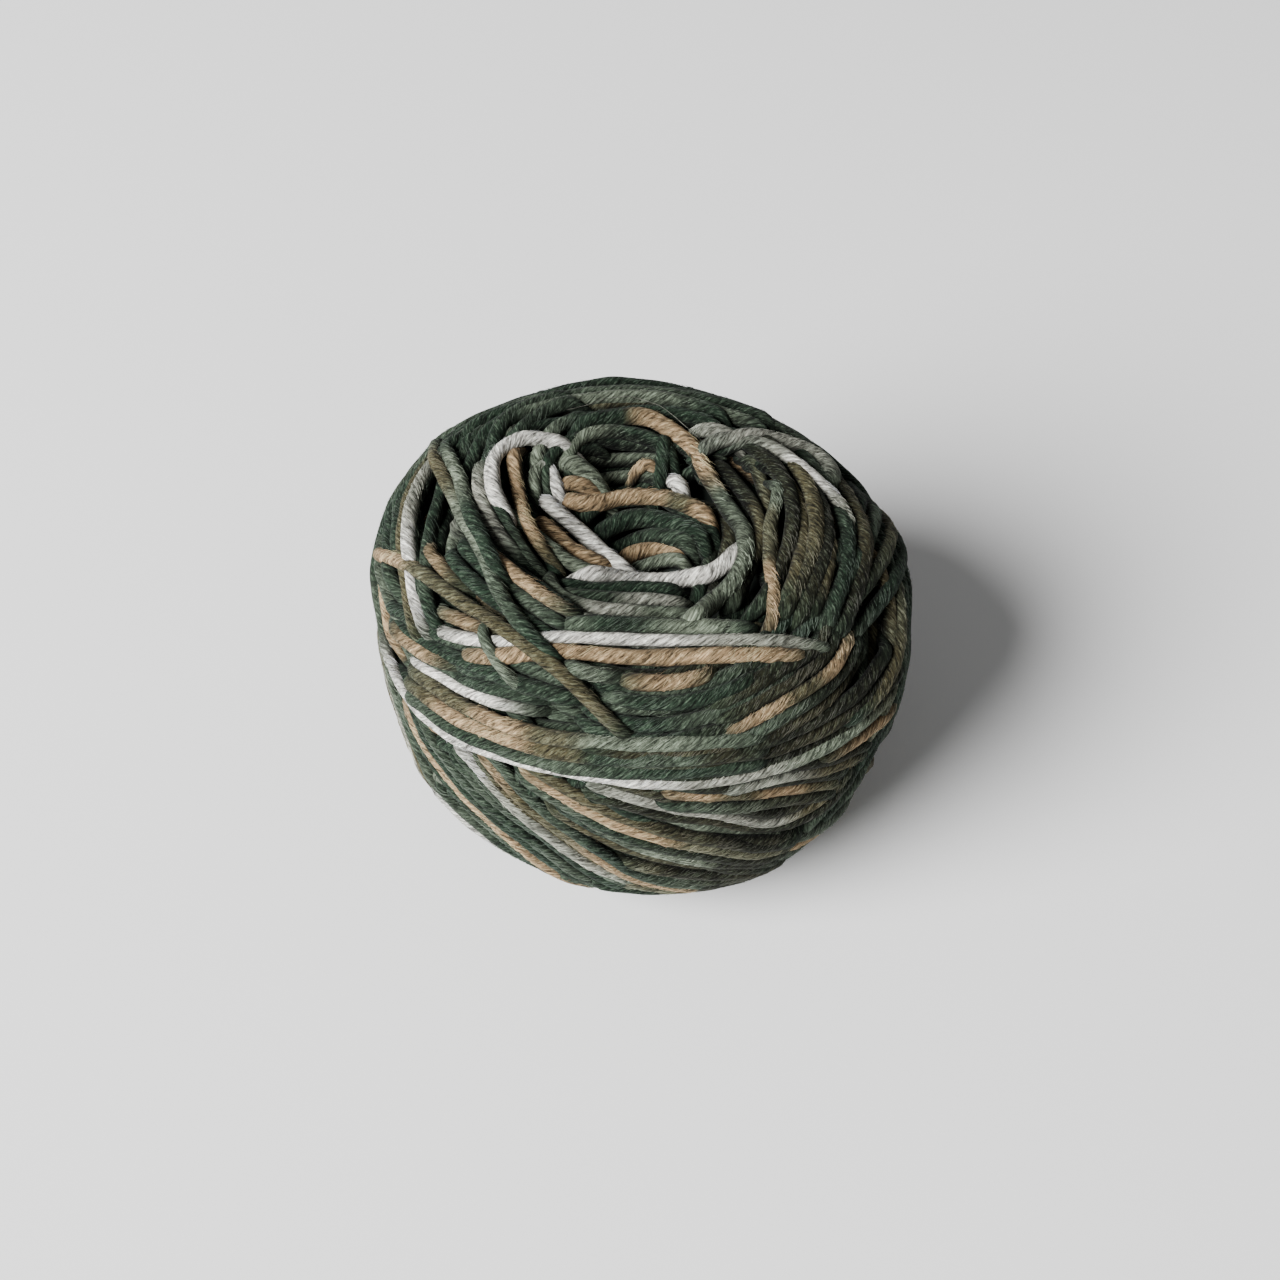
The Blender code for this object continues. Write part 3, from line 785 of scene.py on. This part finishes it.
def add_colours(mesh, colours):
    """Gives each point of a mesh its linear colour, for its material to read."""
    with_alpha = np.ones((len(colours), 4), np.float32)
    with_alpha[:, :3] = colours
    mesh.attributes.new("dye_and_painted_light", "FLOAT_COLOR", "POINT").data.foreach_set("color", with_alpha.ravel())


def add_piece(mesh, kind):
    """Puts a mesh of yarn in the scene as a piece of the ball."""
    piece = bpy.data.objects.new(mesh.name, mesh)
    bpy.context.scene.collection.objects.link(piece)
    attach(piece, "root")
    kind.append(piece)


def strand_piece(chosen):
    """One mesh of these strands, with a map on which they lie unrolled, end to end in rows."""
    vertices, fibres, colours, quads, caps = [], [], [], [], []
    quad_places, cap_places = [], []
    base = 0
    steps = sum(len(strands[number]["points"]) + 1 for number in chosen)
    rows = math.ceil(math.sqrt(steps / ROUND_TO_STEP))
    row_steps = math.ceil(steps / rows)
    step = 0
    for number in chosen:
        strand = strands[number]
        place, fibre, colour, faces = tube(strand, number)
        around = strand["around"]
        vertices.append(place)
        fibres.append(fibre)
        colours.append(colour)
        quads.append(faces + base)
        at = step + np.arange(len(faces) // around)
        u = (at % row_steps)[:, None] + np.zeros(around)
        v = (at // row_steps)[:, None] + 0.03 + 0.94 * np.arange(around) / around
        over = 0.94 / around
        corners = np.stack([u, v, u, v + over, u + 1, v + over, u + 1, v], -1)
        quad_places.append(corners.reshape(-1, 2) / (row_steps, rows))
        step += len(at) + 1
        if not strand["closed"]:
            # The step that is left free after a strand holds its two ends.
            turn = np.linspace(0, 2 * np.pi, around, endpoint=False)
            for middle in (0.28, 0.72):
                u = (step - 1) % row_steps + 0.5 + 0.3 * np.cos(turn)
                v = (step - 1) // row_steps + middle + 0.16 * np.sin(turn)
                cap_places.append(np.stack([u / row_steps, v / rows], -1))
            caps.append([base + corner for corner in reversed(range(around))])
            caps.append([base + len(place) - around + corner for corner in range(around)])
        base += len(place)
    mesh = bpy.data.meshes.new(f"turns_{len(pieces) + 1}")
    mesh.from_pydata(np.vstack(vertices).tolist(), [], np.vstack(quads).tolist() + caps)
    on_plies = mesh.attributes.new("fibre", "FLOAT_VECTOR", "POINT")
    on_plies.data.foreach_set("vector", np.vstack(fibres).astype(np.float32).ravel())
    add_colours(mesh, np.vstack(colours))
    unrolled = mesh.uv_layers.new(name="OFBake")
    unrolled.data.foreach_set("uv", np.vstack(quad_places + cap_places).astype(np.float32).ravel())
    mesh.polygons.foreach_set("use_smooth", [True] * len(mesh.polygons))
    mesh.update()
    add_piece(mesh, pieces)


group, used = [], 0
for number, strand in enumerate(strands):
    cost = len(strand["points"]) * 2 * strand["around"]
    if used + cost > PIECE_TRIANGLES:
        strand_piece(group)
        group, used = [], 0
    group.append(number)
    used += cost
strand_piece(group)


def node(tree, kind, settings, inputs):
    """One node with its settings and its inputs, each a value, another node or one of its outputs."""
    made = tree.nodes.new("ShaderNode" + kind)
    for key, value in settings.items():
        setattr(made, key, value)
    for key, value in inputs.items():
        if isinstance(value, bpy.types.Node):
            value = value.outputs[0]
        if isinstance(value, bpy.types.NodeSocket):
            tree.links.new(value, made.inputs[key])
        else:
            made.inputs[key].default_value = value
    return made


# Acrylic knitting yarn, spun, plied and dyed in lengths. It is dull, with no gloss and hardly any sheen.
# Fine plies turn round the strand with painted shade in the grooves between them, each fibre takes the dye
# a little differently, and paler heathered fibres lie along the plies.
PLIES = 7
PLY_DRIFT = 0.9  # radians by which a ply strays from its even turn
# The fibres' patterns: patches to a millimetre along the strand, patches to its half thickness of 1.7 mm
# round it, detail and roughness. Streaks are 1.8 by 0.6 mm and flecks 1.2 by 0.4 mm, which is coarser
# than single fibres, so that they show. Patches are 4.5 by 1.5 mm, and the plies drift every 4 mm.
PATTERNS = {
    "drift": (0.25, 0.8, 2.0, 0.5),
    "streak": (0.55, 2.8, 4.0, 0.7),
    "fleck": (0.8, 4.0, 3.0, 0.65),
    "patch": (0.22, 1.1, 3.0, 0.6),
}
plied = finished("plied_acrylic_yarn", {
    "Roughness": 0.85,
    "Sheen Weight": 0.03,
    "Sheen Roughness": 0.5,
    "Specular IOR Level": 0.08,
})
tree = plied.node_tree
shader = tree.nodes["Principled BSDF"]
dye_and_shade_colour = node(tree, "Attribute", {"attribute_name": "dye_and_painted_light"}, {})
fibre = node(tree, "Attribute", {"attribute_name": "fibre"}, {}).outputs["Vector"]
pattern = {}
for name, (along, around, detail, roughness) in PATTERNS.items():
    scaled = node(tree, "VectorMath", {"operation": "MULTIPLY"}, {
        0: fibre, 1: (along, around, around),
    })
    pattern[name] = node(tree, "TexNoise", {}, {
        "Vector": scaled, "Scale": 1.0, "Detail": detail, "Roughness": roughness, "Distortion": 0.35,
    })

parts = node(tree, "SeparateXYZ", {}, {0: fibre})
round_plies = node(tree, "Math", {"operation": "ARCTAN2"}, {
    0: parts.outputs["Z"], 1: parts.outputs["Y"],
})
drift = node(tree, "MapRange", {}, {
    0: pattern["drift"], 1: 0.0, 2: 1.0, 3: -PLY_DRIFT, 4: PLY_DRIFT,
})
round_plies = node(tree, "Math", {"operation": "ADD"}, {0: round_plies, 1: drift})
round_one_ply = node(tree, "Math", {"operation": "MULTIPLY"}, {0: round_plies, 1: PLIES})
ridge = node(tree, "Math", {"operation": "COSINE"}, {0: round_one_ply})
# 0 in the groove between two plies and 1 on a ply's back. Here and below, a MapRange node's inputs 1 and
# 2 are the range that it takes, and 3 and 4 the range that it gives.
ply_height = node(tree, "MapRange", {}, {0: ridge, 1: -1.0, 2: 1.0, 3: 0.0, 4: 1.0})

# How light each place is: by streak, by painted shade in the grooves between the plies, and by slow patch.
by_streak = node(tree, "MapRange", {}, {0: pattern["streak"], 1: 0.37, 2: 0.63, 3: 0.2, 4: 1.6})
painted_groove_shade = node(tree, "MapRange", {}, {0: ply_height, 1: 0.0, 2: 0.5, 3: 0.74, 4: 1.03})
by_patch = node(tree, "MapRange", {}, {0: pattern["patch"], 1: 0.3, 2: 0.7, 3: 0.7, 4: 1.3})
tone = node(tree, "Math", {"operation": "MULTIPLY"}, {0: by_streak, 1: painted_groove_shade})
tone = node(tree, "Math", {"operation": "MULTIPLY"}, {0: tone, 1: by_patch})

# The heathered fibres took less dye, so they are paler and greyer.
pale = node(tree, "VectorMath", {"operation": "MULTIPLY_ADD"}, {
    0: dye_and_shade_colour, 1: (1.45, 1.5, 1.5), 2: tuple(linear("30352D")),
})
share = node(tree, "MapRange", {}, {0: pattern["fleck"], 1: 0.51, 2: 0.61, 3: 0.0, 4: 1.0})
heather = node(tree, "Mix", {"data_type": "RGBA"}, {0: share, 6: dye_and_shade_colour, 7: pale})
coloured = node(tree, "VectorMath", {"operation": "SCALE"}, {0: heather.outputs[2], "Scale": tone})
tree.links.new(coloured.outputs[0], shader.inputs["Base Color"])

# The plies and, finer and rougher, the bundles of fibres stand up from the strand.
plies_bump = node(tree, "Bump", {}, {"Height": ply_height, "Strength": 0.5, "Distance": 0.0002})
bump = node(tree, "Bump", {}, {
    "Height": pattern["streak"], "Strength": 0.9, "Distance": 0.00045, "Normal": plies_bump,
})
tree.links.new(bump.outputs[0], shader.inputs["Normal"])
for piece in pieces:
    piece.data.materials.append(plied)

# ---- Fuzz ----
# Short fibre ends that have worked out of the yarn. They follow the plies and lift off, most of them only
# a little, so that no edge is sharp. Each is a three-sided spike of ten triangles, bent once.
FIBRES = 36000
FIBRE_WIDTHS = (0.00007, 0.00016)
FIBRE_LENGTHS = (0.0013, 0.0044)
LIFT_MEAN = 0.00022  # how far most fibre ends lift off the yarn
LIFT_MOST = 0.0011
FUZZ_LIGHTER = 2.2  # than the dye of the yarn, as light comes through a loose fibre
FIBRE_FACES = [(2, 1, 0), (0, 1, 4, 3), (1, 2, 5, 4), (2, 0, 3, 5), (3, 4, 6), (4, 5, 6), (5, 3, 6)]
KEPT_OFF = 6  # samples at a strand's end on which no fibre starts
FUZZ_DEPTH = 0.0022  # below the ball's surface, at which no turn shows its fuzz
FIBRE_ANGLE = 0.75  # radians from a strand's outer side, within which most fibres start

fuzzy = [number for number, strand in enumerate(strands) if strand["around"] == SHOWN_SIDES]
where_strand = np.concatenate([np.full(len(strands[n]["ways"]) - KEPT_OFF, n) for n in fuzzy])
where_sample = np.concatenate([np.arange(len(strands[n]["ways"]) - KEPT_OFF) for n in fuzzy])
proud = np.concatenate([strands[n]["proud"][:-KEPT_OFF] for n in fuzzy])
likely = np.clip(1 + proud / FUZZ_DEPTH, 0, 1) ** 2
picked = chance.choice(len(likely), FIBRES, p=likely / likely.sum())
start_angle = np.clip(chance.normal(0, FIBRE_ANGLE, FIBRES), -1.9, 1.9)
long = chance.uniform(*FIBRE_LENGTHS, FIBRES)
lift = np.minimum(chance.exponential(LIFT_MEAN, FIBRES), LIFT_MOST) + 0.00004
joints = np.zeros((FIBRES, 3, 3))
outs = np.zeros((FIBRES, 3))
fibre_dyes_and_shade = np.zeros((FIBRES, 3))
picked = picked[np.argsort(where_strand[picked], kind="stable")]
for number in np.unique(where_strand[picked]):
    mine = np.nonzero(where_strand[picked] == number)[0]
    strand = strands[number]
    points, half = strand["points"], strand["half"]
    out, side = frame_along(points, strand["closed"])
    first = where_sample[picked[mine]]
    outs[mine] = out[first]
    fibre_dyes_and_shade[mine] = strand["dyes_and_shade"][first]
    for joint, share in enumerate((0.0, 0.5, 1.0)):
        at = first + long[mine] * share / SAMPLE
        low = at.astype(int)
        part = (at - low)[:, None]
        place = points[low] * (1 - part) + points[low + 1] * part
        turned = start_angle[mine] + 2 * np.pi * long[mine] * share / TWIST_LENGTH
        turned += chance.normal(0, 0.12 + 0.1 * share, len(mine))
        off = half * 0.97 + lift[mine] * share ** 1.4
        across = FLATNESS * np.cos(turned)[:, None] * out[low] + np.sin(turned)[:, None] * side[low]
        joints[mine, joint] = place + off[:, None] * across
joints[:, :, 2] = np.maximum(joints[:, :, 2], 0.0004)
along = unit(joints[:, 2] - joints[:, 0])
across = unit(np.cross(along, outs))
upward = np.cross(across, along)
# A fibre that lifts far is a thin one.
wide = chance.uniform(*FIBRE_WIDTHS, FIBRES) * np.clip(1.15 - lift / LIFT_MOST, 0.4, 1)
ring = np.stack([
    0.5 * wide[:, None] * (math.cos(turn) * upward + math.sin(turn) * across)
    for turn in (0.0, 2.094, 4.189)
], 1)
fibre_points = np.concatenate([joints[:, :1] + ring, joints[:, 1:2] + ring * 0.9, joints[:, 2:]], 1)
fibre_colours = np.minimum(fibre_dyes_and_shade * FUZZ_LIGHTER + linear("353535"), linear("B8B8B8"))

# Single acrylic fibres: pale and half clear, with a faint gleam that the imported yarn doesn't have.
loose = finished("loose_acrylic_fibre", {"Roughness": 0.8, "Specular IOR Level": 0.2})
loose_dye = node(loose.node_tree, "Attribute", {"attribute_name": "dye_and_painted_light"}, {})
loose_shader = loose.node_tree.nodes["Principled BSDF"]
loose.node_tree.links.new(loose_dye.outputs[0], loose_shader.inputs["Base Color"])

fuzz = []
for chosen in np.array_split(np.arange(FIBRES), 2):
    mesh = bpy.data.meshes.new(f"fuzz_{len(fuzz) + 1}")
    corners = len(fibre_points[0])
    faces = [
        [corners * base + corner for corner in face] for base in range(len(chosen)) for face in FIBRE_FACES
    ]
    mesh.from_pydata(fibre_points[chosen].reshape(-1, 3).tolist(), [], faces)
    add_colours(mesh, np.repeat(fibre_colours[chosen], corners, axis=0))
    mesh.update()
    mesh.materials.append(loose)
    add_piece(mesh, fuzz)

# ---- Floor, light and camera ----
# A matt white floor that runs far behind the ball, one broad round soft light from the left and the
# front, and a weak even fill from all round.
bpy.ops.mesh.primitive_plane_add(size=12, location=(0, 3, 0))
floor = bpy.context.object
floor.name = "floor"
floor.data.materials.append(finished("matt_white_card", {
    "Base Color": (*linear("F9F9F9"), 1),
    "Roughness": 0.95,
}))

sky = bpy.data.worlds.new("studio")
bpy.context.scene.world = sky
sky.use_nodes = True
sky.node_tree.nodes["Background"].inputs["Color"].default_value = (*linear("FFFFFF"), 1)
sky.node_tree.nodes["Background"].inputs["Strength"].default_value = 0.18

key = bpy.data.lights.new("key", "AREA")
key.shape = "DISK"
key.size = 1.8
key.energy = 215.0
key_light = bpy.data.objects.new("key", key)
key_light.location = (-1.70, -1.22, 1.56)
key_aim = Vector((0, 0, 0.04)) - key_light.location
key_light.rotation_euler = key_aim.to_track_quat("-Z", "Y").to_euler()
bpy.context.scene.collection.objects.link(key_light)

EYE_DISTANCE = 0.40
EYE_RISE = math.radians(50)  # above the level
EYE_AIM_HEIGHT = 0.044
# The ball stands a little off the middle of the view, so the lens is shifted by as little.
eye = bpy.data.cameras.new("camera")
eye.sensor_width = 36
eye.lens = 49.4156
eye.shift_x = -0.00156
eye.shift_y = 0.00312
eye.clip_start = 0.01
camera = bpy.data.objects.new("camera", eye)
camera.location = (
    0, -EYE_DISTANCE * math.cos(EYE_RISE), EYE_AIM_HEIGHT + EYE_DISTANCE * math.sin(EYE_RISE),
)
camera.rotation_euler = (math.radians(90) - EYE_RISE, 0, 0)
bpy.context.scene.collection.objects.link(camera)
bpy.context.scene.camera = camera

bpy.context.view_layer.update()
